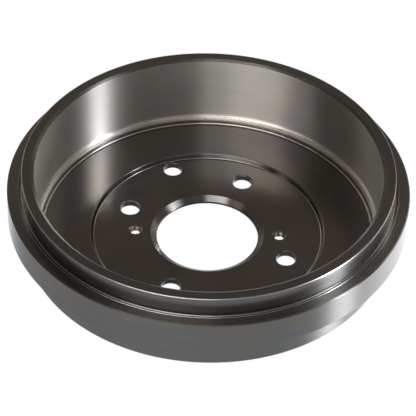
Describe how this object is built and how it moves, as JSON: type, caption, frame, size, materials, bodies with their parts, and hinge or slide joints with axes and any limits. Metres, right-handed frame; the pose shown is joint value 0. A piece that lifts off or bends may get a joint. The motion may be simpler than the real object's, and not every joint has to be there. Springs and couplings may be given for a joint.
{
  "type": "brake drum",
  "caption": "One-piece cast-iron brake drum: a cylindrical friction wall with a stiffening flange and chamfered lip, on a hub plate with a centre bore and stud holes.",
  "frame": {"origin": "centre of the face that seats on the hub, on the drum's axis; it is also the bottom centre of the part's box", "axes": "+Z along the axis from the hub seat to the open mouth; +Y through the centre of the shoe adjuster's access hole; +X completes a right-handed frame"},
  "size_m": [0.2642, 0.2642, 0.06],
  "materials": {
    "cast_iron": "turned all over, oiled bright metal with fine circular tool marks"
  },
  "bodies": {
    "root": {"brake_drum": "cast_iron"}
  },
  "joints": []
}
